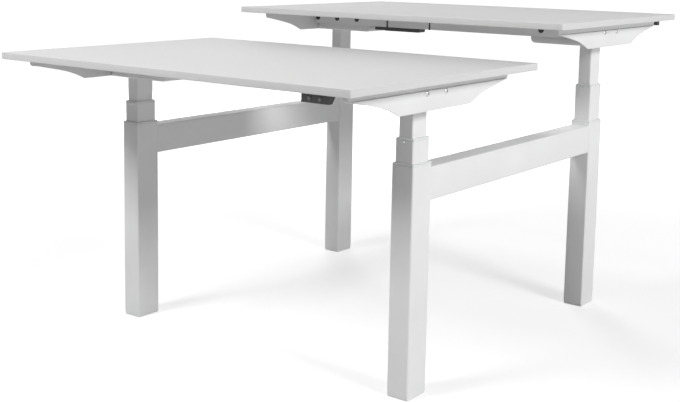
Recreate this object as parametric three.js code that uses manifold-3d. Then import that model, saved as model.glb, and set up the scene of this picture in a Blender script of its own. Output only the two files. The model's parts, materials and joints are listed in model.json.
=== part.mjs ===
// A bench of two electric height-adjustable desks that stand back to back on one frame.
// Millimetres, +Z up. The origin is on the floor at the centre of the frame.
// +X runs along the worktops, -Y is the front user's side and +Y the rear user's side.
import * as THREE from "three";
import { mergeVertices } from "three/addons/utils/BufferGeometryUtils.js";
import Module from "manifold-3d";

const wasm = await Module();
wasm.setup();

// Clearances
const FIT_GAP = 0.3; // between pieces that are fixed to each other
const RUN_GAP = 0.4; // between a glide and the tube that slides in it
const SCREW_GAP = 1; // between a screw and the tube that turns round it
const BUTTON_GAP = 0.4; // round a push button
const CUT_PAST = 1; // how far a cut runs past the face that it opens
const MERGE_DISTANCE = 1e-4;

// Worktops
const TOP_WIDTH = 1150;
const TOP_DEPTH = 800;
const TOP_THICK = 18;
const TOP_CORNER = 3;
const TOP_SPACE = 133; // open space between the two worktops
const END_OVERHANG = 44; // worktop past the outer face of a side bracket

// Height above the lowest position at which each desk stands
const FRONT_LIFT = 105;
const REAR_LIFT = 200;

// Lifting columns: an outer tube, a middle tube and an inner tube
const COLUMN_INSET = 63.5; // column axis to the outer face of the side bracket
const COLUMN_OFFSET = 8; // column axis past the middle of the worktop's depth, towards its user
const OUTER_WIDTH = 60;
const OUTER_DEPTH = 80;
const OUTER_TOP = 572;
const TUBE_WALL = 2.5;
const TUBE_CORNER = 4;
const GLIDE_SPACE = 2.5; // between one tube's wall and the next tube
const GLIDE_RIM = 5;
const GLIDE_SLEEVE = 60;
const MID_REVEAL = 7; // middle stage above the outer one when fully down
const INNER_REVEAL = 17; // inner tube above the middle stage when fully down
const BASE_FLANGE = 5;
const BASE_INSET = 1;
const BASE_PLUG = 15;
const MID_FLOOR_SPACE = 20; // under the middle tube when fully down
const BEARING_PLATE = 8;
const INNER_FLOOR_SPACE = 7; // under the inner tube when fully down

// Two-stage screw inside each column
const SCREW_DIAMETER = 12;
const SCREW_WALL = 3;
const SCREW_TOP_SPACE = 30; // outer tube above the end of the fixed screw
const HOLLOW_TOP_SPACE = 20; // middle stage above the end of the hollow screw
const DRIVE_SEAT = 30; // drive tube held in the gearbox

// Side beams between the front and rear columns
const BEAM_WIDTH = 56;
const BEAM_HEIGHT = 82;
const BEAM_DROP = 14; // below the top of the outer tube
const BEAM_WALL = 3;

// Side brackets: a wing-shaped plate with an arm under the worktop
const BRACKET_DEPTH = 66;
const BRACKET_FLAT = 306; // straight lower edge of the wing
const PLATE_THICK = 4;
const PLATE_DROP = 17; // arm that shows above the plate
const PLATE_TIP = 1.5;
const PLATE_TIP_INSET = 10; // plate's tip from the arm's tip
const WING_STEEP = [0.33, 0.43]; // the curve's handles, as shares of its run and rise
const WING_SHALLOW = [0.4, 0.46];
const ARM_WIDTH = 6;
const ARM_LAP = 3; // arm welded behind the plate
const ARM_BITE = 1; // weld depth
const ARM_SETBACK = 55; // bracket's tip from the worktop's user edge
const ARM_END_RADIUS = 10;

// Telescopic crossbeam of folded channel
const RAIL_WIDTH = 158;
const RAIL_HEIGHT = 45;
const RAIL_WALL = 2;
const LEFT_RAIL = 307;
const INNER_RAIL_SHOWN = 160;
const RAIL_OVERLAP = 150;

// Drive unit at the top of each column
const HOUSING_LENGTH = 221;
const HOUSING_WIDTH = 124;
const HOUSING_WALL = 3;
const HOUSING_CORNER = 15;
const MOTOR_DIAMETER = 46;
const MOTOR_LENGTH = 90;
const MOTOR_SINK = 1; // motor set into the floor of its housing
const GEARBOX_WIDTH = 56;
const GEARBOX_LENGTH = 60;
const GEARBOX_HEIGHT = 40;

// Control box in the crossbeam
const CONTROL_LENGTH = 138;
const CONTROL_WIDTH = 36;
const CONTROL_SHIFT = 47; // off the crossbeam's middle, away from the user
const CONTROL_PROUD = 13; // below the crossbeam
const CONTROL_CORNER = 4;
const SOCKET_LENGTH = 41;
const SOCKET_PROUD = 12;
const SOCKET_HEIGHT = 24;
const CONTROL_SPACE = 21; // from the drive unit

// Handset under the user's edge
const HANDSET_WIDTH = 72;
const HANDSET_HEIGHT = 19;
const HANDSET_TOP_DEPTH = 27;
const HANDSET_BOTTOM_DEPTH = 13;
const HANDSET_SETBACK = 10;
const FRONT_HANDSET_END = 63; // from the worktop's end
const REAR_HANDSET_END = 47;
const BUTTON_DIAMETER = 11;
const BUTTON_PITCH = 28;
const BUTTON_LENGTH = 6;
const BUTTON_PROUD = 1.6;
const BUTTON_TRAVEL = 1;
const BUTTON_DROP = 10; // button axis below the worktop

// Facets: corner arcs, round sections and the wing's long curves
const CORNER_FACETS = 2;
const ROUND_FACETS = 12;
const WING_FACETS = 14;

// Sizes that follow from those above
const bracketFace = TOP_WIDTH / 2 - END_OVERHANG;
const armInner = bracketFace - PLATE_THICK + ARM_BITE - ARM_WIDTH;
const columnX = bracketFace - COLUMN_INSET;
const columnY = TOP_SPACE / 2 + TOP_DEPTH / 2 + COLUMN_OFFSET;
const userEdge = TOP_DEPTH / 2 - COLUMN_OFFSET;
const tipReach = userEdge - ARM_SETBACK;
const railEnd = armInner - FIT_GAP;
const tubeStep = 2 * (TUBE_WALL + GLIDE_SPACE);
const midTop = OUTER_TOP + MID_REVEAL;
const housingBottom = midTop + INNER_REVEAL;
const undersideLow = housingBottom + BRACKET_DEPTH;
const baseTop = BASE_FLANGE + FIT_GAP + BASE_PLUG;
const midBottom = baseTop + MID_FLOOR_SPACE;
const innerBottom = midBottom + BEARING_PLATE + INNER_FLOOR_SPACE;
const hollowBore = SCREW_DIAMETER + 2 * SCREW_GAP;
const hollowDiameter = hollowBore + 2 * SCREW_WALL;
const driveBore = hollowDiameter + 2 * SCREW_GAP;
const driveDiameter = driveBore + 2 * SCREW_WALL;

const outerSize = [OUTER_WIDTH, OUTER_DEPTH];
const midSize = outerSize.map((side) => side - tubeStep);
const innerSize = midSize.map((side) => side - tubeStep);

// Undersides of the two crossbeam webs, below the worktop
const outerWeb = FIT_GAP + RAIL_WALL;
const innerWeb = outerWeb + FIT_GAP + RAIL_WALL;

const finish = (color, roughness, metalness = 0) =>
  new THREE.MeshStandardMaterial({ color, roughness, metalness });
const whitePaint = finish(0xeceeee, 0.45);
const worktopLaminate = finish(0xd9d9d7, 0.55);
const glidePlastic = finish(0xe6e6e4, 0.6);
const zincSteel = finish(0xa9abab, 0.4, 0.9);
const blackPlastic = finish(0x242424, 0.5);
const buttonPlastic = finish(0x565656, 0.5);

// A rectangle with round corners, as a shape or as the path of a hole
function roundedRect(path, width, height, radius) {
  const x = width / 2;
  const y = height / 2;
  path.moveTo(x - radius, -y);
  path.absarc(x - radius, radius - y, radius, -Math.PI / 2, 0);
  path.absarc(x - radius, y - radius, radius, 0, Math.PI / 2);
  path.absarc(radius - x, y - radius, radius, Math.PI / 2, Math.PI);
  path.absarc(radius - x, radius - y, radius, Math.PI, 1.5 * Math.PI);
  path.closePath();
  return path;
}

const block = ([width, height], radius) => roundedRect(new THREE.Shape(), width, height, radius);

const disc = (diameter) => new THREE.Shape().absarc(0, 0, diameter / 2, 0, 2 * Math.PI);

// A ring between two rounded rectangles
function frameRing(outside, inside, radius) {
  const wall = (outside[0] - inside[0]) / 2;
  const ring = block(outside, radius);
  ring.holes.push(roundedRect(new THREE.Path(), ...inside, Math.max(radius - wall, wall / 2)));
  return ring;
}

function roundRing(outside, inside) {
  const ring = disc(outside);
  ring.holes.push(new THREE.Path().absarc(0, 0, inside / 2, 0, 2 * Math.PI));
  return ring;
}

// A straight-sided outline from [across, up] corners
const outline = (corners) => new THREE.Shape(corners.map(([x, y]) => new THREE.Vector2(x, y)));

const X_AXIS = new THREE.Vector3(1, 0, 0);
const Y_AXIS = new THREE.Vector3(0, 1, 0);
const Z_AXIS = new THREE.Vector3(0, 0, 1);

// A shape carried from one place to another along an axis.
// Along x the shape lies in (y, z), along y in (x, z) and along z in (x, y).
function prism(shape, axis, from, to, curveSegments = CORNER_FACETS) {
  const depth = to - from;
  const body = new THREE.ExtrudeGeometry(shape, { depth, bevelEnabled: false, curveSegments });
  const turn = new THREE.Matrix4();
  if (axis === "x") {
    turn.makeBasis(Y_AXIS, Z_AXIS, X_AXIS).setPosition(from, 0, 0);
  } else if (axis === "y") {
    turn.makeBasis(X_AXIS, Z_AXIS, Y_AXIS.clone().negate()).setPosition(0, to, 0);
  } else {
    turn.makeTranslation(0, 0, from);
  }
  return body.applyMatrix4(turn);
}

function solidFrom(geometry) {
  const bare = geometry.clone();
  bare.deleteAttribute("normal");
  bare.deleteAttribute("uv");
  const merged = mergeVertices(bare, MERGE_DISTANCE);
  const vertProperties = merged.getAttribute("position").array;
  const triVerts = new Uint32Array(merged.index.array);
  return new wasm.Manifold(new wasm.Mesh({ numProp: 3, vertProperties, triVerts }));
}

function geometryFrom(solid) {
  const mesh = solid.getMesh();
  const geometry = new THREE.BufferGeometry();
  geometry.setAttribute("position", new THREE.BufferAttribute(mesh.vertProperties, 3));
  geometry.setIndex(new THREE.BufferAttribute(mesh.triVerts, 1));
  return geometry;
}

// Joins the first list of geometries and cuts the second list out of them
function shaped(joined, cuts = []) {
  const [first, ...rest] = joined.map(solidFrom);
  const whole = rest.reduce((sum, next) => sum.add(next), first);
  return geometryFrom(cuts.map(solidFrom).reduce((sum, next) => sum.subtract(next), whole));
}

function place(group, name, geometry, material, x = 0, y = 0, z = 0) {
  const mesh = new THREE.Mesh(geometry, material);
  mesh.name = name;
  mesh.position.set(x, y, z);
  group.add(mesh);
}

// Columns, in the coordinates of the fully lowered column

const grown = (size, by) => size.map((side) => side + 2 * by);

function tube(size, bottom, top) {
  return prism(frameRing(size, grown(size, -TUBE_WALL), TUBE_CORNER), "z", bottom, top);
}

// A plastic glide: a sleeve between two tubes, under a rim on the end of the outer one
function glide(outside, inside, top) {
  const bore = grown(inside, RUN_GAP);
  const sleeve = grown(outside, -TUBE_WALL - FIT_GAP);
  const bottom = top - GLIDE_RIM - GLIDE_SLEEVE;
  return shaped([
    prism(frameRing(outside, bore, TUBE_CORNER), "z", top - GLIDE_RIM, top),
    prism(frameRing(sleeve, bore, TUBE_CORNER - TUBE_WALL + GLIDE_SPACE / 2), "z", bottom, top),
  ]);
}

// The foot flange, the plug that closes the outer tube, and the fixed screw
function columnBase() {
  const flange = block(grown(outerSize, -BASE_INSET), TUBE_CORNER);
  const plug = block(grown(outerSize, -TUBE_WALL - FIT_GAP), TUBE_CORNER - TUBE_WALL);
  const screwTop = OUTER_TOP - SCREW_TOP_SPACE;
  return shaped([
    prism(flange, "z", 0, BASE_FLANGE),
    prism(plug, "z", 0, baseTop),
    prism(disc(SCREW_DIAMETER), "z", 0, screwTop, ROUND_FACETS),
  ]);
}

// The hollow screw with the bearing plate that carries the middle tube
function hollowScrew() {
  const plate = block(grown(midSize, -TUBE_WALL - FIT_GAP), TUBE_CORNER - TUBE_WALL);
  const top = midTop - HOLLOW_TOP_SPACE;
  return shaped(
    [
      prism(plate, "z", midBottom, midBottom + BEARING_PLATE),
      prism(disc(hollowDiameter), "z", midBottom, top, ROUND_FACETS),
    ],
    [prism(disc(hollowBore), "z", 0, midTop, ROUND_FACETS)],
  );
}

function driveTube() {
  const top = housingBottom + HOUSING_WALL + DRIVE_SEAT;
  return prism(roundRing(driveDiameter, driveBore), "z", innerBottom, top, ROUND_FACETS);
}

// One column with its stages raised: the middle stage rises half as far as the inner one
function column(corner, x, y, lift) {
  const fixed = new THREE.Group();
  place(fixed, `column_base_${corner}`, columnBase(), zincSteel);
  const outerTube = tube(outerSize, BASE_FLANGE + FIT_GAP, OUTER_TOP - GLIDE_RIM - FIT_GAP);
  place(fixed, `outer_tube_${corner}`, outerTube, whitePaint);
  place(fixed, `lower_glide_${corner}`, glide(outerSize, midSize, OUTER_TOP), glidePlastic);

  const middle = new THREE.Group();
  middle.position.z = lift / 2;
  place(middle, `mid_tube_${corner}`, tube(midSize, midBottom, midTop - GLIDE_RIM - FIT_GAP), whitePaint);
  place(middle, `upper_glide_${corner}`, glide(midSize, innerSize, midTop), glidePlastic);
  place(middle, `hollow_screw_${corner}`, hollowScrew(), zincSteel);

  const inner = new THREE.Group();
  inner.position.z = lift;
  place(inner, `inner_tube_${corner}`, tube(innerSize, innerBottom, housingBottom - FIT_GAP), whitePaint);
  place(inner, `drive_tube_${corner}`, driveTube(), zincSteel);

  const whole = new THREE.Group();
  whole.position.set(x, y, 0);
  whole.add(fixed, middle, inner);
  return whole;
}

// Frame

function sideBeam() {
  const reach = columnY - OUTER_DEPTH / 2 - FIT_GAP;
  const size = [BEAM_WIDTH, BEAM_HEIGHT];
  return prism(frameRing(size, grown(size, -BEAM_WALL), TUBE_CORNER), "y", -reach, reach);
}

// Desk pieces, from the underside of the worktop on the line between the two columns

// The wing plate's outline: straight along the top and the middle of the bottom,
// with a hollow curve up to each tip
function wingOutline() {
  const flat = BRACKET_FLAT / 2;
  const reach = tipReach - PLATE_TIP_INSET;
  const run = reach - flat;
  const rise = BRACKET_DEPTH - PLATE_DROP - PLATE_TIP;
  const tip = -PLATE_DROP - PLATE_TIP;
  const handle = ([along, up]) => [flat + along * run, tip - up * rise];
  const steep = handle(WING_STEEP);
  const shallow = handle(WING_SHALLOW);
  const wing = new THREE.Shape();
  wing.moveTo(-reach, -PLATE_DROP);
  wing.lineTo(-reach, tip);
  wing.bezierCurveTo(-shallow[0], shallow[1], -steep[0], steep[1], -flat, -BRACKET_DEPTH);
  wing.lineTo(flat, -BRACKET_DEPTH);
  wing.bezierCurveTo(...steep, ...shallow, reach, tip);
  wing.lineTo(reach, -PLATE_DROP);
  wing.closePath();
  return wing;
}

// The arm's outline: a bar whose lower corners are round
function armOutline() {
  const bottom = -PLATE_DROP - ARM_LAP;
  const turn = bottom + ARM_END_RADIUS;
  const flat = tipReach - ARM_END_RADIUS;
  const arm = new THREE.Shape();
  arm.moveTo(-tipReach, -FIT_GAP);
  arm.lineTo(-tipReach, turn);
  arm.absarc(-flat, turn, ARM_END_RADIUS, Math.PI, 1.5 * Math.PI);
  arm.absarc(flat, turn, ARM_END_RADIUS, 1.5 * Math.PI, 2 * Math.PI);
  arm.lineTo(tipReach, -FIT_GAP);
  arm.closePath();
  return arm;
}

function sideBracket(end) {
  const spans = [
    [wingOutline(), bracketFace - PLATE_THICK, bracketFace],
    [armOutline(), armInner, armInner + ARM_WIDTH],
  ];
  return shaped(
    spans.map(([shape, near, far]) => {
      const [from, to] = end > 0 ? [near, far] : [-far, -near];
      return prism(shape, "x", from, to, WING_FACETS);
    }),
  );
}

// A channel open below, of one folded sheet
function channel(width, top, from, to) {
  const out = width / 2;
  const inside = out - RAIL_WALL;
  const web = top - RAIL_WALL;
  const section = outline([
    [-out, -RAIL_HEIGHT],
    [-inside, -RAIL_HEIGHT],
    [-inside, web],
    [inside, web],
    [inside, -RAIL_HEIGHT],
    [out, -RAIL_HEIGHT],
    [out, top],
    [-out, top],
  ]);
  return prism(section, "x", from, to);
}

// The drive unit for the column at one end: a housing open at the top, with the gearbox
// over the column and the motor lying beside it
function driveHousing(end) {
  const top = -innerWeb - FIT_GAP;
  const floor = HOUSING_WALL - BRACKET_DEPTH;
  const inboard = end * (railEnd - HOUSING_LENGTH);
  const outboard = end * railEnd;
  const side = (inset, bottom, upper) => {
    const corner = HOUSING_CORNER - inset;
    const near = inboard + end * inset;
    const shape = new THREE.Shape();
    shape.moveTo(outboard - end * inset, upper);
    shape.lineTo(near, upper);
    shape.lineTo(near, bottom + corner);
    shape.quadraticCurveTo(near, bottom, near + end * corner, bottom);
    shape.lineTo(outboard - end * inset, bottom);
    shape.closePath();
    return shape;
  };
  const half = HOUSING_WIDTH / 2;
  const cavityHalf = half - HOUSING_WALL;
  const shell = prism(side(0, -BRACKET_DEPTH, top), "y", -half, half, ROUND_FACETS);
  const cavity = prism(side(HOUSING_WALL, floor, 0), "y", -cavityHalf, cavityHalf, ROUND_FACETS);
  const hollowShell = shaped([shell], [cavity]);
  const axis = end * columnX;
  const gearbox = prism(block([GEARBOX_LENGTH, GEARBOX_WIDTH], TUBE_CORNER), "z", 0, GEARBOX_HEIGHT);
  gearbox.translate(axis, 0, floor - MOTOR_SINK);
  const motorEnd = axis - end * (GEARBOX_LENGTH / 2 - MOTOR_SINK);
  const motorSpan = [motorEnd, motorEnd - end * MOTOR_LENGTH].sort((a, b) => a - b);
  const motor = prism(disc(MOTOR_DIAMETER), "x", ...motorSpan, ROUND_FACETS);
  motor.translate(0, 0, floor + MOTOR_DIAMETER / 2 - MOTOR_SINK);
  const shaft = prism(disc(driveDiameter + 2 * SCREW_GAP), "z", -BRACKET_DEPTH - CUT_PAST, 0, ROUND_FACETS);
  shaft.translate(axis, 0, 0);
  return shaped([hollowShell, gearbox, motor], [shaft]);
}

// The control box hangs from the inner rail's web; its sockets face the nearer drive unit
function controlBox() {
  const start = -railEnd + HOUSING_LENGTH + CONTROL_SPACE;
  const half = CONTROL_WIDTH / 2;
  const top = -innerWeb - FIT_GAP;
  const bottom = -RAIL_HEIGHT - CONTROL_PROUD;
  const middle = start + SOCKET_LENGTH + CONTROL_LENGTH / 2;
  const box = prism(block([CONTROL_LENGTH, top - bottom], CONTROL_CORNER), "y", -half, half);
  box.translate(middle, 0, (top + bottom) / 2);
  const socketBottom = -RAIL_HEIGHT - SOCKET_PROUD;
  const socketHalf = half - CONTROL_CORNER;
  const sockets = prism(
    outline([
      [start, socketBottom],
      [middle, socketBottom],
      [middle, socketBottom + SOCKET_HEIGHT],
      [start, socketBottom + SOCKET_HEIGHT],
    ]),
    "y",
    -socketHalf,
    socketHalf,
  );
  return shaped([box, sockets]);
}

const handsetFace = userEdge - HANDSET_SETBACK;
const buttonPlaces = { up: BUTTON_PITCH / 2, down: -BUTTON_PITCH / 2 };

// A span in y on the user's side, from its distances to the column axis
const userSpan = (user, near, far) => (user > 0 ? [near, far] : [-far, -near]);

// The handset is a wedge: its face is upright and its back slopes in towards the bottom
function handset(user) {
  const bottom = -FIT_GAP - HANDSET_HEIGHT;
  const side = outline([
    [user * handsetFace, -FIT_GAP],
    [user * (handsetFace - HANDSET_TOP_DEPTH), -FIT_GAP],
    [user * (handsetFace - HANDSET_BOTTOM_DEPTH), bottom],
    [user * handsetFace, bottom],
  ]);
  const half = HANDSET_WIDTH / 2;
  const body = prism(side, "x", -half, half);
  const wellDepth = BUTTON_LENGTH - BUTTON_PROUD + BUTTON_TRAVEL + BUTTON_GAP;
  const wells = Object.values(buttonPlaces).map((x) => {
    const well = prism(
      disc(BUTTON_DIAMETER + 2 * BUTTON_GAP),
      "y",
      ...userSpan(user, handsetFace - wellDepth, handsetFace + CUT_PAST),
      ROUND_FACETS,
    );
    return well.translate(x, 0, -BUTTON_DROP);
  });
  return shaped([body], wells);
}

function button(user) {
  const front = handsetFace + BUTTON_PROUD;
  const span = userSpan(user, front - BUTTON_LENGTH, front);
  return prism(disc(BUTTON_DIAMETER), "y", ...span, ROUND_FACETS);
}

// One desk on its two columns; user is -1 for the front desk and +1 for the rear one
function desk(name, user, lift, handsetEnd) {
  const group = new THREE.Group();
  group.position.set(0, user * columnY, undersideLow + lift);

  const board = prism(block([TOP_WIDTH, TOP_DEPTH], TOP_CORNER), "z", 0, TOP_THICK);
  place(group, `worktop_${name}`, board, worktopLaminate, 0, -user * COLUMN_OFFSET);

  const leftEnd = LEFT_RAIL - railEnd;
  const rightStart = leftEnd + INNER_RAIL_SHOWN;
  const innerWidth = RAIL_WIDTH - 2 * (RAIL_WALL + FIT_GAP);
  const rails = {
    left: channel(RAIL_WIDTH, -FIT_GAP, -railEnd, leftEnd),
    right: channel(RAIL_WIDTH, -FIT_GAP, rightStart, railEnd),
    inner: channel(innerWidth, -outerWeb - FIT_GAP, leftEnd - RAIL_OVERLAP, rightStart + RAIL_OVERLAP),
  };
  for (const [part, rail] of Object.entries(rails)) {
    place(group, `crossbeam_${part}_rail_${name}`, rail, whitePaint);
  }

  for (const [side, end] of Object.entries({ left: -1, right: 1 })) {
    place(group, `side_bracket_${name}_${side}`, sideBracket(end), whitePaint);
    place(group, `drive_housing_${name}_${side}`, driveHousing(end), whitePaint);
  }

  place(group, `control_box_${name}`, controlBox(), blackPlastic, 0, -user * CONTROL_SHIFT);
  const handsetX = TOP_WIDTH / 2 - handsetEnd - HANDSET_WIDTH / 2;
  place(group, `handset_${name}`, handset(user), blackPlastic, handsetX);
  for (const [way, x] of Object.entries(buttonPlaces)) {
    place(group, `${way}_button_${name}`, button(user), buttonPlastic, handsetX + x, 0, -BUTTON_DROP);
  }
  return group;
}

const bench = new THREE.Group();
const desks = {
  front: [-1, FRONT_LIFT, FRONT_HANDSET_END],
  rear: [1, REAR_LIFT, REAR_HANDSET_END],
};
for (const [name, [user, lift, handsetEnd]] of Object.entries(desks)) {
  bench.add(desk(name, user, lift, handsetEnd));
  bench.add(column(`${name}_left`, -columnX, user * columnY, lift));
  bench.add(column(`${name}_right`, columnX, user * columnY, lift));
}
const beamHeight = OUTER_TOP - BEAM_DROP - BEAM_HEIGHT / 2;
place(bench, "side_beam_left", sideBeam(), whitePaint, -columnX, 0, beamHeight);
place(bench, "side_beam_right", sideBeam(), whitePaint, columnX, 0, beamHeight);

export default bench;
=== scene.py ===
"""Looks for a bench of two sit-stand desks: every surface is worked out with numpy around the frame."""

import json
import math

import bmesh
import bpy
import numpy as np
from mathutils import Matrix, Vector


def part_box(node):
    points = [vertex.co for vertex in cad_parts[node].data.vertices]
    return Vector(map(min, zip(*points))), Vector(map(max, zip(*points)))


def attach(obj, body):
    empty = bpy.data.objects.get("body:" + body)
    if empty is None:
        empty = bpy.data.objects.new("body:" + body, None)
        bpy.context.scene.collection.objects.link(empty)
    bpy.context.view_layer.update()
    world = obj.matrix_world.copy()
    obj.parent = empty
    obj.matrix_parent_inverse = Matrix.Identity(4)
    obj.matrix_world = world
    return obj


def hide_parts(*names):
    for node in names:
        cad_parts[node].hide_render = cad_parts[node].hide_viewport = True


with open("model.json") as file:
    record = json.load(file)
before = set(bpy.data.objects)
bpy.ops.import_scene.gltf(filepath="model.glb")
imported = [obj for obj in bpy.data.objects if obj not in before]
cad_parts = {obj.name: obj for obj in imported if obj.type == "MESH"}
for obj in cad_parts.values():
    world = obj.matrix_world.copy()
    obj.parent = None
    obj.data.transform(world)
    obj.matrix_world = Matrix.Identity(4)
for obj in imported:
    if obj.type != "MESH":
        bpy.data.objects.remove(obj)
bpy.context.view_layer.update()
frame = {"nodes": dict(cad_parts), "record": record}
NODES = frame["nodes"]

# Each desk with the side in y where its user sits, each end of a desk with the way outwards in x, and
# the two sides of a beam or bracket in y
DESKS = {"front": -1, "rear": 1}
SIDES = {"left": -1, "right": 1}
WALLS = {"near": -1, "far": 1}

# Sizes in metres that the frame's boxes don't give: columns and side beams
TUBE_WALL = 0.0025
TUBE_CORNER = 0.004
BEAM_WALL = 0.003
SOFT_EDGE = 0.0006
GLIDE_RIM = 0.005
GLIDE_EDGE = 0.0012
GLIDE_CLEARANCE = 0.0004
SLEEVE_CLEARANCE = 0.0003
RIVET_RADIUS = 0.0022
RIVET_FLAT = 0.00176  # radius of its flat face
RIVET_DROP = 0.0085
RIVET_DEPTH = 0.0020
RIVET_PROUD = 0.00015  # near flush, so that it passes the glide below

# Worktops
TOP_CORNER = 0.003
BOARD_CORNER = 0.0015
BOARD_EDGE = 0.0003
EDGE_BAND = 0.002
EDGE_BAND_ROUND = 0.0015
SEAM_GAP = 0.00005

# Side brackets; the handles of the wing's curve are shares of its run and rise
PLATE_THICK = 0.004
PLATE_DROP = 0.017
PLATE_TIP = 0.0015
PLATE_TIP_INSET = 0.010
WING_STEEP = (0.33, 0.43)
WING_SHALLOW = (0.40, 0.46)
ARM_HEIGHT = 0.020
ARM_RECESS = 0.003
ARM_END_RADIUS = 0.010
BRACKET_FLAT = 0.306
BRACKET_EDGE = 0.0012

# Bracket screws; the dome's points are a share of the radius and a height
SCREW_RADIUS = 0.0070
SCREW_SPACING = 0.080
SCREW_DROP = 0.0243
SCREW_SINK = 0.001
SCREW_RIM = 0.0006
SCREW_DOME = ((0.88, 0.0016), (0.66, 0.0023))
SCREW_HEAD = 0.0024
SOCKET_RADIUS = 0.0035
SOCKET_FLOOR = 0.0006
SOCKET_POINT = 0.0004  # height at the middle of its floor
SOCKET_SIDES = 6

# Crossbeams; the plug's ring and dish are shares of its radius
RAIL_WALL = 0.002
RAIL_EDGE = 0.0005
COLLAR_LENGTH = 0.006
COLLAR_PROUD = 0.0008
COLLAR_TOP_GAP = 0.0005
COLLAR_EDGE = 0.0002
PLUG_RADIUS = 0.0095
PLUG_RING = (0.86, 0.70)
PLUG_DISH = 0.62
PLUG_SINK = 0.0015
PLUG_PROUD = 0.0012
PLUG_BEVEL = 0.00048  # height at which its bevel starts
PLUG_SPACING = 0.0835
PLUG_FROM_END = 0.0105
PLUG_DROP = 0.024
PLUG_COUNT = 3

# Drive housings
HOUSING_CORNER = 0.015
HOUSING_EDGE = 0.005

# Buttons, with depths below the top of the CAD button; the dome's points are shares of the radius
BUTTON_FACE = 0.0003
BUTTON_DOME = ((1.0, 0.0012), (0.96, 0.0006), (0.86, BUTTON_FACE), (0.5, BUTTON_FACE))
ICON_HALF = 0.0026
ICON_FOOT = 0.00182  # from its middle to its straight side
ICON_FACE = 0.0001
ICON_BACK = 0.0005
ICON_EDGE = 0.00005

# Camera at the photograph's viewing angle, for a picture of 680 by 402
CAMERA_AT = (1.87195, -2.60869, 1.04855)
CAMERA_YAW = math.radians(38.544)
CAMERA_PITCH = math.radians(-7.631)
CAMERA_ROLL = math.radians(0.836)
PICTURE = (680, 402)
FOCAL_PIXELS = 1098.4
CENTRE_PIXEL = (314.6, 103.0)
SENSOR = 36.0

# Studio: the floor's glow is a strength at each of two distances from the bench
FLOOR_HALF = 40.0
FLOOR_GREY = 0.5
FLOOR_ROUGHNESS = 0.9
FLOOR_SPECULAR = 0.1
FLOOR_GLOW = ((1.2, 0.58), (4.0, 1.0))
WORLD_FILL = 0.06

# Lamps: name, place, the point it faces, side of its square, watts, and whether it leaves a highlight
LAMPS = (
    ("right_key", (5.0, -0.8, 3.2), (0.2, 0.0, 0.5), 1.5, 187.0, True),
    ("right_fill", (4.2, 0.9, 0.9), (-0.3, 0.0, 0.45), 1.6, 28.0, False),
    ("front_left", (-1.0, -3.3, 3.3), (-0.3, -0.4, 0.6), 1.2, 120.0, False),
    ("overhead_left", (-1.6, 0.4, 3.9), (-0.1, 0.1, 0.7), 1.6, 14.0, True),
    ("back_fill", (-3.4, 3.8, 1.7), (0.0, 0.0, 0.4), 2.0, 145.0, False),
)

# Meshes: points closer than this are one, edges that turn less than this are shaded smoothly, and an
# inset corner moves no more than the inset divided by the mitre limit
SAME_POINT = 1e-7
SMOOTH_BELOW = math.radians(32)
MITRE_LIMIT = 0.5


# Surfaces


def rounded_rect(half_x, half_y, radius, steps=6):
    """A loop of points: four quarter arcs, each of steps + 1 points, counter-clockwise."""
    arc = np.linspace(0.0, math.pi / 2, steps + 1)
    loops = []
    for quarter, (sx, sy) in enumerate(((1, 1), (-1, 1), (-1, -1), (1, -1))):
        angle = arc + quarter * math.pi / 2
        centre = np.array([sx * (half_x - radius), sy * (half_y - radius)])
        loops.append(centre + radius * np.stack([np.cos(angle), np.sin(angle)], -1))
    return np.concatenate(loops)


def arc_points(centre, radius, start, stop, steps=8):
    """Points of an arc between two angles given in degrees."""
    angle = np.radians(np.linspace(start, stop, steps + 1))
    return np.asarray(centre) + radius * np.stack([np.cos(angle), np.sin(angle)], -1)


def bezier(p0, p1, p2, p3, steps=20):
    """Points of a cubic curve from its end points and its two handles."""
    t = np.linspace(0.0, 1.0, steps + 1)[:, None]
    p0, p1, p2, p3 = (np.asarray(p) for p in (p0, p1, p2, p3))
    return (1 - t) ** 3 * p0 + 3 * (1 - t) ** 2 * t * p1 + 3 * (1 - t) * t ** 2 * p2 + t ** 3 * p3


def both_sides(right):
    """The right half of a loop, joined to its mirror image."""
    return np.concatenate([right, right[::-1] * np.array([-1.0, 1.0])])


def inset(loop, by):
    """Every point moved inwards along the mean of its two edges' normals, so that both edges move by
    the same distance."""
    ahead = np.roll(loop, -1, 0) - loop
    behind = loop - np.roll(loop, 1, 0)
    ahead /= np.linalg.norm(ahead, axis=1, keepdims=True)
    behind /= np.linalg.norm(behind, axis=1, keepdims=True)
    normal = np.stack([-(ahead + behind)[:, 1], (ahead + behind)[:, 0]], -1)
    normal /= np.linalg.norm(normal, axis=1, keepdims=True)
    spread = np.clip((normal * np.stack([-ahead[:, 1], ahead[:, 0]], -1)).sum(1), MITRE_LIMIT, 1.0)
    return loop + by * normal / spread[:, None]


def along(axis, loop, station):
    """A flat loop set square to an axis: (y, z) along x, (x, z) along y and (x, y) along z."""
    place = np.full(len(loop), station)
    order = {"x": (place, loop[:, 0], loop[:, 1]), "y": (loop[:, 0], place, loop[:, 1]),
             "z": (loop[:, 0], loop[:, 1], place)}
    return np.stack(order[axis], -1)


def closed_object(name, mesh):
    """Merges doubled points, turns the faces outwards and shades the rounded edges smoothly."""
    work = bmesh.new()
    work.from_mesh(mesh)
    bmesh.ops.remove_doubles(work, verts=work.verts, dist=SAME_POINT)
    bmesh.ops.recalc_face_normals(work, faces=work.faces)
    work.to_mesh(mesh)
    work.free()
    mesh.shade_smooth()
    mesh.set_sharp_from_angle(angle=SMOOTH_BELOW)
    piece = bpy.data.objects.new(name, mesh)
    bpy.context.scene.collection.objects.link(piece)
    return piece


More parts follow.
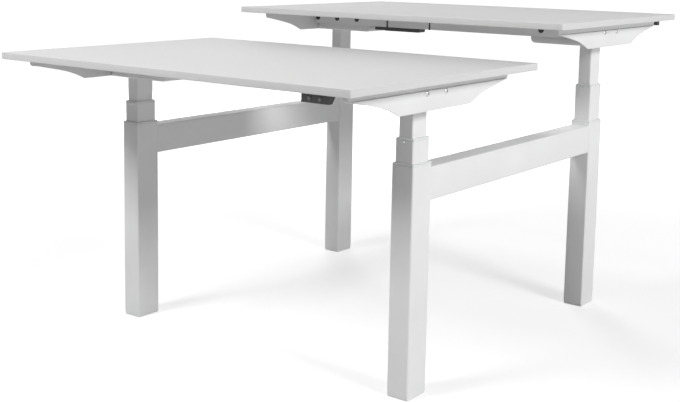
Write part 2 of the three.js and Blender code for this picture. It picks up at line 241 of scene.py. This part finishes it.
def skin(name, rows, endless=False):
    """A grid of points joined into faces: each row closes on itself, and the rows are either
    capped at both ends or joined round into a ring."""
    rows = np.asarray(rows, float)
    count, width = rows.shape[:2]
    lower = np.arange(count if endless else count - 1)
    upper = (lower + 1) % count
    here = np.arange(width)
    ahead = (here + 1) % width
    quads = np.stack([
        lower[:, None] * width + here, lower[:, None] * width + ahead,
        upper[:, None] * width + ahead, upper[:, None] * width + here], -1).reshape(-1, 4).tolist()
    if not endless:
        quads += [list(range(width))[::-1], list(range((count - 1) * width, count * width))]
    mesh = bpy.data.meshes.new(name)
    mesh.from_pydata(rows.reshape(-1, 3).tolist(), [], quads)
    return closed_object(name, mesh)


def carried_rows(loop, axis, low, high, edge, steps):
    """Rows of a loop carried along an axis; at each end it draws in through a quarter circle whose
    radius is edge."""
    turn = np.linspace(0.0, math.pi / 2, steps + 1)
    drawn_in = edge * (1.0 - np.sin(turn))
    offset = edge * (1.0 - np.cos(turn))
    start = [along(axis, inset(loop, d), low + o) for d, o in zip(drawn_in, offset)]
    end = [along(axis, inset(loop, d), high - o) for d, o in zip(drawn_in[::-1], offset[::-1])]
    return start + end


def carried(name, loop, axis, low, high, edge, steps=3):
    """A solid bar: a loop carried along an axis, with rounded ends."""
    return skin(name, carried_rows(loop, axis, low, high, edge, steps))


def tube(name, axis, centre, outside, wall, low, high, radius, edge):
    """A hollow bar: rounded rectangles up the outside, over a rounded rim and down the inside."""
    out_loop = rounded_rect(*outside, radius)
    in_loop = rounded_rect(*(outside - wall), max(radius - wall, wall / 2))
    rows = [
        along(axis, inset(out_loop, edge), low), along(axis, out_loop, low + edge),
        along(axis, out_loop, high - edge), along(axis, inset(out_loop, edge), high),
        along(axis, inset(in_loop, -edge), high), along(axis, in_loop, high - edge),
        along(axis, in_loop, low + edge), along(axis, inset(in_loop, -edge), low),
    ]
    return skin(name, np.array(rows) + np.asarray(centre), endless=True)


def turned(name, profile, centre, axis, facets=40, sides=None):
    """A profile of (radius, height) turned about an axis through centre. Where sides is given for a
    row, the circle there is drawn in to a polygon of that many sides."""
    axis = Vector(axis).normalized()
    frame_x = np.array(axis.orthogonal().normalized())
    frame_y = np.cross(np.array(axis), frame_x)
    angle = np.linspace(0.0, 2 * math.pi, facets, endpoint=False)
    rows = []
    for row, (radius, height) in enumerate(profile):
        reach = np.full(facets, radius)
        if sides and sides[row]:
            sector = 2 * math.pi / sides[row]
            reach = radius * math.cos(sector / 2) / np.cos((angle % sector) - sector / 2)
        ring = reach[:, None] * (np.cos(angle)[:, None] * frame_x + np.sin(angle)[:, None] * frame_y)
        rows.append(ring + np.asarray(centre) + height * np.array(axis))
    return skin(name, rows)


# Materials


class Finish:
    """A procedural surface: a Principled shader whose colour, roughness and relief come from noise
    on Object coordinates, at sizes given in metres."""

    def __init__(self, name, metallic=0.0):
        self.material = bpy.data.materials.new(name)
        self.material.use_nodes = True
        self.tree = self.material.node_tree
        self.shader = self.tree.nodes["Principled BSDF"]
        self.shader.inputs["Metallic"].default_value = metallic
        self.coords = self.tree.nodes.new("ShaderNodeTexCoord")
        self.relief = None

    def noise(self, grain, detail=3.0, stretch=(1.0, 1.0, 1.0)):
        """Noise whose features are about grain metres across, drawn out along the axes by stretch."""
        mapping = self.tree.nodes.new("ShaderNodeMapping")
        mapping.inputs["Scale"].default_value = tuple(1.0 / s for s in stretch)
        texture = self.tree.nodes.new("ShaderNodeTexNoise")
        texture.inputs["Scale"].default_value = 1.0 / grain
        texture.inputs["Detail"].default_value = detail
        self.tree.links.new(self.coords.outputs["Object"], mapping.inputs["Vector"])
        self.tree.links.new(mapping.outputs["Vector"], texture.inputs["Vector"])
        return texture.outputs["Fac"]

    def colour(self, source, stops):
        """Base colour from a ramp over the noise, given as a list of (place, colour)."""
        node = self.tree.nodes.new("ShaderNodeValToRGB")
        elements = node.color_ramp.elements
        while len(elements) < len(stops):
            elements.new(0.5)
        for element, (place, colour) in zip(elements, stops):
            element.position = place
            element.color = (*colour, 1.0)
        self.tree.links.new(source, node.inputs["Fac"])
        self.tree.links.new(node.outputs["Color"], self.shader.inputs["Base Color"])

    def roughness(self, source, low, high):
        """Roughness between two values, as the noise goes from 0 to 1."""
        node = self.tree.nodes.new("ShaderNodeMapRange")
        node.inputs["To Min"].default_value = low
        node.inputs["To Max"].default_value = high
        self.tree.links.new(source, node.inputs["Value"])
        self.tree.links.new(node.outputs["Result"], self.shader.inputs["Roughness"])

    def bump(self, source, height, strength):
        """Relief of that height in metres; further calls lie on top of the last one."""
        node = self.tree.nodes.new("ShaderNodeBump")
        node.inputs["Distance"].default_value = height
        node.inputs["Strength"].default_value = strength
        self.tree.links.new(source, node.inputs["Height"])
        if self.relief:
            self.tree.links.new(self.relief, node.inputs["Normal"])
        self.relief = node.outputs["Normal"]
        self.tree.links.new(self.relief, self.shader.inputs["Normal"])


def grey(level, warmth=0.0):
    """A grey whose red is raised and whose blue is lowered by a small share."""
    return (level * (1.0 + warmth), level, level * (1.0 - warmth))


def white_powder_coat():
    """Satin powder coat: faint orange peel under a fine grain, with slow changes of tone."""
    f = Finish("white_powder_coat")
    f.colour(f.noise(0.18, 2.0), [(0.3, grey(0.77, 0.002)), (0.7, grey(0.81, -0.004))])
    f.roughness(f.noise(0.012, 3.0), 0.36, 0.48)
    f.bump(f.noise(0.0028, 2.0), 0.00006, 0.5)
    f.bump(f.noise(0.0006, 2.0), 0.00002, 0.4)
    return f.material


def grey_melamine():
    """Light grey melamine board: a matt pearl texture with very fine speckle."""
    f = Finish("grey_melamine")
    speckle = [(0.3, grey(0.60, 0.002)), (0.55, grey(0.63, 0.001)), (0.8, grey(0.65))]
    f.colour(f.noise(0.0011, 5.0), speckle)
    f.roughness(f.noise(0.004, 4.0), 0.42, 0.56)
    f.bump(f.noise(0.0016, 4.0), 0.00005, 0.6)
    f.shader.inputs["Specular IOR Level"].default_value = 0.35
    return f.material


def grey_edge_band():
    """The band glued round the board: the same grey, a little smoother, drawn out by its extrusion."""
    f = Finish("grey_edge_band")
    f.colour(f.noise(0.01, 3.0, (8.0, 8.0, 0.4)), [(0.3, grey(0.63, 0.002)), (0.7, grey(0.66, 0.001))])
    f.roughness(f.noise(0.006, 3.0), 0.34, 0.46)
    f.bump(f.noise(0.0009, 3.0), 0.00003, 0.5)
    return f.material


def white_glide_plastic():
    """Moulded acetal: slightly milky, with a fine tool grain."""
    f = Finish("white_glide_plastic")
    f.colour(f.noise(0.02, 3.0), [(0.3, grey(0.74, 0.004)), (0.7, grey(0.78, 0.002))])
    f.roughness(f.noise(0.003, 3.0), 0.4, 0.55)
    f.bump(f.noise(0.0007, 3.0), 0.00003, 0.5)
    f.shader.inputs["Subsurface Weight"].default_value = 0.08
    return f.material


def black_grained_plastic():
    """Black plastic with a spark-eroded grain that catches the light on its tips."""
    f = Finish("black_grained_plastic")
    f.colour(f.noise(0.0009, 5.0), [(0.35, grey(0.014)), (0.75, grey(0.03))])
    f.roughness(f.noise(0.0015, 4.0), 0.38, 0.62)
    f.bump(f.noise(0.0006, 4.0), 0.00008, 0.7)
    return f.material


def grey_button_plastic():
    """Soft-touch dark grey, worn a little smoother in patches."""
    f = Finish("grey_button_plastic")
    f.colour(f.noise(0.002, 4.0), [(0.3, grey(0.075)), (0.8, grey(0.105))])
    f.roughness(f.noise(0.004, 3.0), 0.45, 0.66)
    f.bump(f.noise(0.0004, 3.0), 0.00003, 0.5)
    return f.material


def light_print():
    """Pad-printed grey ink, lighter than the button under it."""
    f = Finish("light_print")
    f.colour(f.noise(0.0006, 3.0), [(0.3, grey(0.17)), (0.8, grey(0.22))])
    f.roughness(f.noise(0.002, 2.0), 0.5, 0.65)
    return f.material


def zinc_plate():
    """Bright zinc over steel: a bluish cast with patches of yellow and fine drawn lines."""
    f = Finish("zinc_plate", metallic=1.0)
    f.colour(f.noise(0.015, 4.0), [(0.3, (0.52, 0.53, 0.54)), (0.75, (0.62, 0.62, 0.60))])
    f.roughness(f.noise(0.004, 4.0, (1.0, 1.0, 6.0)), 0.24, 0.42)
    f.bump(f.noise(0.0008, 3.0, (1.0, 1.0, 8.0)), 0.00002, 0.4)
    return f.material


WHITE = white_powder_coat()
BOARD = grey_melamine()
BAND = grey_edge_band()
GLIDE = white_glide_plastic()
BLACK = black_grained_plastic()
BUTTON = grey_button_plastic()
PRINT = light_print()
ZINC = zinc_plate()
SLOT_MATERIALS = {"white_paint": WHITE, "worktop_board": BOARD, "glide_plastic": GLIDE,
                  "zinc_steel": ZINC, "black_plastic": BLACK, "button_plastic": BUTTON}


def dress(piece, material, body, *nodes):
    """Gives a piece its finish, lets it ride on a body and stand for CAD nodes."""
    piece.data.materials.clear()
    piece.data.materials.append(material)
    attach(piece, body)
    if nodes:
        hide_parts(*nodes)


def finish_cad_nodes():
    """Every CAD node gets the procedural finish of its slot, but the feet are painted."""
    for part in frame["record"]["subparts"]:
        node = NODES[part["node"]]
        node.data.materials.clear()
        foot = part["node"].startswith("column_base")
        node.data.materials.append(WHITE if foot else SLOT_MATERIALS[part["material_slot"]])


def measure(node):
    """A node's lowest and highest corners, its middle and half its size."""
    low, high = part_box(node)
    return low, high, (low + high) / 2, (high - low) / 2


# Columns and beams


def steel_tube(node, axis, wall, body):
    """A tube along one axis of its box, with rounded corners and softened ends."""
    low, high, centre, half = measure(node)
    run = "xyz".index(axis)
    outside = np.delete(np.array(half), run)
    centre[run] = 0.0
    piece = tube(f"{node}_skin", axis, centre, outside, wall, low[run], high[run], TUBE_CORNER, SOFT_EDGE)
    dress(piece, WHITE, body, node)


def glide_collar(node, inner_node, body):
    """The rim that shows on a stage's mouth, with its sleeve running down inside the tube: rounded
    rectangles go up the sleeve, out and over the rim and down the bore."""
    low, high, centre, half = measure(node)
    outside = np.array(half.xy)
    *_, inner_half = measure(inner_node)
    bore = np.array(inner_half.xy) + GLIDE_CLEARANCE
    bore_radius = TUBE_CORNER - TUBE_WALL
    sleeve = outside - TUBE_WALL - SLEEVE_CLEARANCE
    rim = high.z - GLIDE_RIM
    stations = [
        (sleeve, bore_radius, low.z), (sleeve, bore_radius, rim), (outside, TUBE_CORNER, rim),
        (outside, TUBE_CORNER, high.z - GLIDE_EDGE),
        (outside - GLIDE_EDGE, TUBE_CORNER - GLIDE_EDGE, high.z),
        (bore, bore_radius, high.z), (bore, bore_radius, low.z),
    ]
    rows = [along("z", rounded_rect(*size, radius), z) for size, radius, z in stations]
    piece = skin(f"{node}_collar", np.array(rows) + np.array([centre.x, centre.y, 0.0]), endless=True)
    dress(piece, GLIDE, body, node)


def stage_rivets(node, rim_node, body, corner):
    """A flat rivet under the rim, in the front and the back of a middle stage."""
    low, high, centre, _ = measure(node)
    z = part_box(rim_node)[1].z - RIVET_DROP
    profile = [(0.0, -RIVET_DEPTH), (RIVET_RADIUS, -RIVET_DEPTH), (RIVET_RADIUS, RIVET_PROUD / 2),
               (RIVET_FLAT, RIVET_PROUD), (0.0, RIVET_PROUD)]
    for name, sign, y in (("front", -1, low.y), ("back", 1, high.y)):
        piece = turned(f"stage_rivet_{corner}_{name}", profile, (centre.x, y, z), (0, sign, 0), facets=20)
        dress(piece, ZINC, body)


def build_columns():
    """Four columns, each of three tubes, with a collar on the two lower ones and rivets in the middle."""
    for desk in DESKS:
        for side in SIDES:
            corner = f"{desk}_{side}"
            steel_tube(f"outer_tube_{corner}", "z", TUBE_WALL, "base")
            steel_tube(f"mid_tube_{corner}", "z", TUBE_WALL, f"{desk}_stage")
            steel_tube(f"inner_tube_{corner}", "z", TUBE_WALL, f"{desk}_desk")
            glide_collar(f"lower_glide_{corner}", f"mid_tube_{corner}", "base")
            glide_collar(f"upper_glide_{corner}", f"inner_tube_{corner}", f"{desk}_stage")
            stage_rivets(f"mid_tube_{corner}", f"upper_glide_{corner}", f"{desk}_stage", corner)


def build_beams():
    """The two beams that join the front columns to the rear ones."""
    for side in SIDES:
        steel_tube(f"side_beam_{side}", "y", BEAM_WALL, "base")


# Desks


def build_worktop(desk):
    """The board between its two faces, and the band round its edge as a piece of its own, which goes
    up the outside and down along the board."""
    node = f"worktop_{desk}"
    low, high, centre, half = measure(node)
    middle = np.array(centre.xy)
    outside = np.array(half.xy)
    core = rounded_rect(*(outside - EDGE_BAND), BOARD_CORNER, steps=8) + middle
    board = carried(f"{node}_board", core, "z", low.z, high.z, BOARD_EDGE, steps=2)
    dress(board, BOARD, f"{desk}_desk", node)
    rim = rounded_rect(*outside, TOP_CORNER, steps=8) + middle
    seam = rounded_rect(*(outside - EDGE_BAND + SEAM_GAP), BOARD_CORNER, steps=8) + middle
    rows = carried_rows(rim, "z", low.z, high.z, EDGE_BAND_ROUND, steps=4)
    rows += [along("z", seam, high.z), along("z", seam, low.z)]
    band = skin(f"{node}_edge_band", rows, endless=True)
    dress(band, BAND, f"{desk}_desk")


def wing_loop(reach, top, bottom):
    """The wing plate from the side: straight on top and along the middle of the bottom, with a
    hollow curve up to each tip."""
    flat = BRACKET_FLAT / 2
    reach = reach - PLATE_TIP_INSET
    run = reach - flat
    plate_top = top - PLATE_DROP
    tip = plate_top - PLATE_TIP
    rise = tip - bottom
    steep, shallow = ((flat + out * run, tip - down * rise) for out, down in (WING_STEEP, WING_SHALLOW))
    curve = bezier((flat, bottom), steep, shallow, (reach, tip))
    return both_sides(np.concatenate([curve, [(reach, plate_top)]]))


def arm_loop(reach, top):
    """The arm from the side: a bar whose two lower corners are round."""
    turn = top - ARM_HEIGHT + ARM_END_RADIUS
    corner = arc_points((reach - ARM_END_RADIUS, turn), ARM_END_RADIUS, -90, 0)
    return both_sides(np.concatenate([corner, [(reach, top)]]))


def bracket_screw(name, centre, outwards, body):
    """A button-head screw with a hexagon socket."""
    dome = [(share * SCREW_RADIUS, height) for share, height in SCREW_DOME]
    head = [(0.0, -SCREW_SINK), (SCREW_RADIUS, -SCREW_SINK), (SCREW_RADIUS, SCREW_RIM), *dome]
    socket = [(SOCKET_RADIUS, SCREW_HEAD), (SOCKET_RADIUS, SOCKET_FLOOR)]
    sides = [0] * len(head) + [SOCKET_SIDES] * len(socket) + [0]
    profile = head + socket + [(0.0, SOCKET_POINT)]
    screw = turned(name, profile, centre, (outwards, 0, 0), facets=48, sides=sides)
    dress(screw, ZINC, body)


def build_bracket(desk, side, outwards):
    """The wing plate, the arm behind it under the worktop, and the two screws in the plate."""
    node = f"side_bracket_{desk}_{side}"
    body = f"{desk}_desk"
    low, high, centre, half = measure(node)
    face, arm_back = (high.x, low.x) if outwards > 0 else (low.x, high.x)
    shift = np.array([centre.y, 0.0])
    plate_ends = sorted((face, face - outwards * PLATE_THICK))
    plate = carried(f"{node}_wing", wing_loop(half.y, high.z, low.z) + shift, "x", *plate_ends, BRACKET_EDGE)
    dress(plate, WHITE, body, node)
    arm_ends = sorted((face - outwards * ARM_RECESS, arm_back))
    arm = carried(f"{node}_arm", arm_loop(half.y, high.z) + shift, "x", *arm_ends, BRACKET_EDGE)
    dress(arm, WHITE, body)
    for which, sign in WALLS.items():
        spot = (face, centre.y + sign * SCREW_SPACING / 2, high.z - SCREW_DROP)
        bracket_screw(f"bracket_screw_{desk}_{side}_{which}", spot, outwards, body)


def channel_loop(half, top, bottom, wall):
    """A folded channel, open below, from the end."""
    return np.array([(half, bottom), (half, top), (-half, top), (-half, bottom), (wall - half, bottom),
                     (wall - half, top - wall), (half - wall, top - wall), (half - wall, bottom)])


def rail_collars(desk, side, outwards):
    """A black strip on each side wall of an outer rail, at the mouth that the inner rail slides in."""
    low, high, centre, half = measure(f"crossbeam_{side}_rail_{desk}")
    start = low.x if outwards > 0 else high.x - COLLAR_LENGTH
    bottom, top = low.z - COLLAR_PROUD, high.z - COLLAR_TOP_GAP
    for wall, sign in WALLS.items():
        left, right = sorted((sign * half.y, sign * (half.y + COLLAR_PROUD)))
        strip = np.array([(left, bottom), (right, bottom), (right, top), (left, top)])
        strip += np.array([centre.y, 0.0])
        name = f"rail_collar_{desk}_{side}_{wall}"
        collar = carried(name, strip, "x", start, start + COLLAR_LENGTH, COLLAR_EDGE)
        dress(collar, BLACK, f"{desk}_desk")


def rail_plugs(desk, side, outwards):
    """Round plugs with a raised ring, spaced from an outer rail's end along both of its side walls."""
    low, high, centre, half = measure(f"crossbeam_{side}_rail_{desk}")
    outer_end = high.x if outwards > 0 else low.x
    ring = [(share * PLUG_RADIUS, PLUG_PROUD) for share in PLUG_RING]
    profile = [(0.0, -PLUG_SINK), (PLUG_RADIUS, -PLUG_SINK), (PLUG_RADIUS, PLUG_BEVEL), *ring,
               (PLUG_DISH * PLUG_RADIUS, PLUG_PROUD / 2), (0.0, PLUG_PROUD / 2)]
    for number in range(PLUG_COUNT):
        x = outer_end - outwards * (PLUG_FROM_END + number * PLUG_SPACING)
        for wall, sign in WALLS.items():
            spot = (x, centre.y + sign * half.y, high.z - PLUG_DROP)
            plug = turned(f"rail_plug_{desk}_{side}_{wall}_{number}", profile, spot, (0, sign, 0))
            dress(plug, BLACK, f"{desk}_desk")


def build_crossbeam(desk):
    """Three folded rails, with collars and plugs on the two outer ones."""
    for part in ("left", "inner", "right"):
        node = f"crossbeam_{part}_rail_{desk}"
        low, high, centre, half = measure(node)
        loop = channel_loop(half.y, high.z, low.z, RAIL_WALL) + np.array([centre.y, 0.0])
        sheet = carried(f"{node}_sheet", loop, "x", low.x, high.x, RAIL_EDGE)
        dress(sheet, WHITE, f"{desk}_desk", node)
        if part in SIDES:
            rail_collars(desk, part, SIDES[part])
            rail_plugs(desk, part, SIDES[part])


def build_drive_housing(desk, side):
    """A moulded box with a round inboard corner and soft edges."""
    node = f"drive_housing_{desk}_{side}"
    low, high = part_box(node)
    turn = low.z + HOUSING_CORNER
    if side == "right":
        corner = arc_points((low.x + HOUSING_CORNER, turn), HOUSING_CORNER, 180, 270)
        loop = np.array([(low.x, high.z), *corner, (high.x, low.z), (high.x, high.z)])
    else:
        corner = arc_points((high.x - HOUSING_CORNER, turn), HOUSING_CORNER, 270, 360)
        loop = np.array([(low.x, high.z), (low.x, low.z), *corner, (high.x, high.z)])
    box = carried(f"{node}_case", loop, "y", low.y, high.y, HOUSING_EDGE, steps=5)
    dress(box, WHITE, f"{desk}_desk", node)


def build_buttons(desk, user):
    """Domed push buttons, each with a plain triangle that points the way the desk moves."""
    for way, tip in (("up", 1), ("down", -1)):
        node = f"{way}_button_{desk}"
        body = f"{desk}_{way}_button"
        low, high, centre, half = measure(node)
        face = low.y if user < 0 else high.y
        base = -2 * half.y
        dome = [(share * half.x, -depth) for share, depth in BUTTON_DOME]
        profile = [(0.0, base), (half.x, base), *dome, (0.0, -BUTTON_FACE)]
        cap = turned(f"{node}_cap", profile, (centre.x, face, centre.z), (0, user, 0))
        dress(cap, BUTTON, body, node)
        foot = -tip * ICON_FOOT
        corners = np.array([(-ICON_HALF, foot), (ICON_HALF, foot), (0.0, tip * ICON_HALF)])
        corners = corners[::tip] + np.array([centre.x, centre.z])
        ends = sorted((face - user * ICON_BACK, face - user * ICON_FACE))
        icon = carried(f"{node}_arrow", corners, "y", *ends, ICON_EDGE, steps=1)
        dress(icon, PRINT, body)


# Studio


def build_camera():
    """Looks along yaw and pitch, rolled about its axis; the picture's centre is shifted from the axis."""
    yaw, pitch, roll = CAMERA_YAW, CAMERA_PITCH, CAMERA_ROLL
    ahead = Vector((-math.sin(yaw) * math.cos(pitch), math.cos(yaw) * math.cos(pitch), math.sin(pitch)))
    level = Vector((math.cos(yaw), math.sin(yaw), 0.0))
    upright = level.cross(ahead)
    right = math.cos(roll) * level + math.sin(roll) * upright
    up = -math.sin(roll) * level + math.cos(roll) * upright
    data = bpy.data.cameras.new("camera")
    data.sensor_width = SENSOR
    data.lens = FOCAL_PIXELS / PICTURE[0] * SENSOR
    data.shift_x = (PICTURE[0] / 2 - CENTRE_PIXEL[0]) / PICTURE[0]
    data.shift_y = (CENTRE_PIXEL[1] - PICTURE[1] / 2) / PICTURE[0]
    camera = bpy.data.objects.new("camera", data)
    turn = Matrix((right, up, -ahead)).transposed().to_4x4()
    camera.matrix_world = Matrix.Translation(CAMERA_AT) @ turn
    bpy.context.scene.collection.objects.link(camera)
    bpy.context.scene.camera = camera


def seen_by_camera(tree, plain, shown):
    """One shader for the camera's own rays and those that a surface mirrors or lets through, and a
    plain one for every other ray."""
    path = tree.nodes.new("ShaderNodeLightPath")
    seen = path.outputs["Is Camera Ray"]
    for kind in ("Is Glossy Ray", "Is Transmission Ray"):
        either = tree.nodes.new("ShaderNodeMath")
        either.operation = "MAXIMUM"
        tree.links.new(seen, either.inputs[0])
        tree.links.new(path.outputs[kind], either.inputs[1])
        seen = either.outputs["Value"]
    mix = tree.nodes.new("ShaderNodeMixShader")
    tree.links.new(seen, mix.inputs["Fac"])
    tree.links.new(plain, mix.inputs[1])
    tree.links.new(shown, mix.inputs[2])
    return mix.outputs["Shader"]


def build_world():
    """Even fill light, behind which the camera sees plain white."""
    world = bpy.data.worlds.new("studio")
    world.use_nodes = True
    tree = world.node_tree
    fill = tree.nodes["Background"]
    fill.inputs["Color"].default_value = (1.0, 1.0, 1.0, 1.0)
    fill.inputs["Strength"].default_value = WORLD_FILL
    white = tree.nodes.new("ShaderNodeBackground")
    white.inputs["Color"].default_value = (1.0, 1.0, 1.0, 1.0)
    surface = seen_by_camera(tree, fill.outputs["Background"], white.outputs["Background"])
    tree.links.new(surface, tree.nodes["World Output"].inputs["Surface"])
    bpy.context.scene.world = world


def pale_floor():
    """A matt grey under the lamps, to which the camera sees a glow added that grows with distance."""
    material = bpy.data.materials.new("pale_floor")
    material.use_nodes = True
    tree = material.node_tree
    lit = tree.nodes["Principled BSDF"]
    lit.inputs["Base Color"].default_value = (*grey(FLOOR_GREY), 1.0)
    lit.inputs["Roughness"].default_value = FLOOR_ROUGHNESS
    lit.inputs["Specular IOR Level"].default_value = FLOOR_SPECULAR
    coords = tree.nodes.new("ShaderNodeTexCoord")
    away = tree.nodes.new("ShaderNodeVectorMath")
    away.operation = "LENGTH"
    tree.links.new(coords.outputs["Object"], away.inputs[0])
    fade = tree.nodes.new("ShaderNodeMapRange")
    for end, (distance, strength) in zip(("Min", "Max"), FLOOR_GLOW):
        fade.inputs[f"From {end}"].default_value = distance
        fade.inputs[f"To {end}"].default_value = strength
    tree.links.new(away.outputs["Value"], fade.inputs["Value"])
    glow = tree.nodes.new("ShaderNodeEmission")
    tree.links.new(fade.outputs["Result"], glow.inputs["Strength"])
    both = tree.nodes.new("ShaderNodeAddShader")
    tree.links.new(lit.outputs["BSDF"], both.inputs[0])
    tree.links.new(glow.outputs["Emission"], both.inputs[1])
    surface = seen_by_camera(tree, lit.outputs["BSDF"], both.outputs["Shader"])
    tree.links.new(surface, tree.nodes["Material Output"].inputs["Surface"])
    return material


def build_floor():
    """A wide flat square that keeps the bench's shadow."""
    mesh = bpy.data.meshes.new("floor")
    h = FLOOR_HALF
    mesh.from_pydata([(-h, -h, 0), (h, -h, 0), (h, h, 0), (-h, h, 0)], [], [(0, 1, 2, 3)])
    mesh.materials.append(pale_floor())
    floor = bpy.data.objects.new("floor", mesh)
    bpy.context.scene.collection.objects.link(floor)


def soft_box(name, place, target, size, power, mirrored):
    """A square area lamp turned to face a point; mirrored is off for one that leaves no highlight."""
    data = bpy.data.lights.new(name, "AREA")
    data.size = size
    data.energy = power
    lamp = bpy.data.objects.new(name, data)
    lamp.visible_glossy = mirrored
    lamp.location = place
    lamp.rotation_euler = (Vector(target) - Vector(place)).to_track_quat("-Z", "Y").to_euler()
    bpy.context.scene.collection.objects.link(lamp)


# The bench, then the studio round it

finish_cad_nodes()
build_columns()
build_beams()
for desk_name, user_side in DESKS.items():
    build_worktop(desk_name)
    build_crossbeam(desk_name)
    build_buttons(desk_name, user_side)
    for side_name, way_out in SIDES.items():
        build_bracket(desk_name, side_name, way_out)
        build_drive_housing(desk_name, side_name)

build_camera()
build_world()
build_floor()
for lamp_values in LAMPS:
    soft_box(*lamp_values)
bpy.context.scene.view_settings.view_transform = "Standard"
